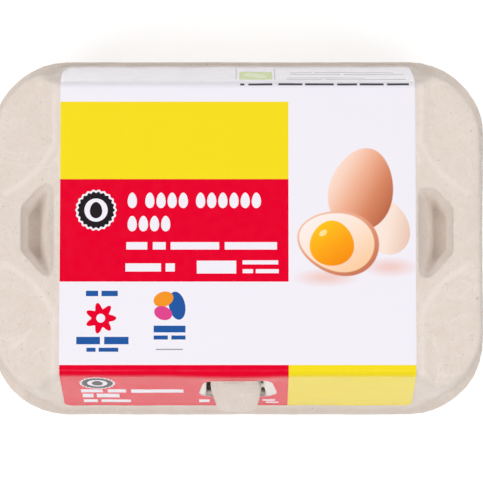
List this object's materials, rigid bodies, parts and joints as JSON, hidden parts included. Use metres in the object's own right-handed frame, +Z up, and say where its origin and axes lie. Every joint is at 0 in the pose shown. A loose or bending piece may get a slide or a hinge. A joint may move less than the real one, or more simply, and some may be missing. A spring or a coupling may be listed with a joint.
{
  "type": "shut egg carton",
  "caption": "Shut moulded pulp egg carton with a hinged, locked lid, end pockets, rounded cup feet and a paper label wrapped over the lid.",
  "frame": {"origin": "on the surface the carton stands on, under the middle of its bounding box", "axes": "+X along the long side, -Y to the front where the lid locks, +Y to the hinge, +Z up"},
  "size_m": [0.15, 0.108, 0.0697],
  "materials": {
    "moulded_pulp": "matt, fibrous, grey beige",
    "printed_label": "smooth coated paper with a printed red and yellow field"
  },
  "bodies": {
    "root": {"carton_base": "moulded_pulp", "carton_lid": "moulded_pulp", "label": "printed_label"}
  },
  "joints": []
}
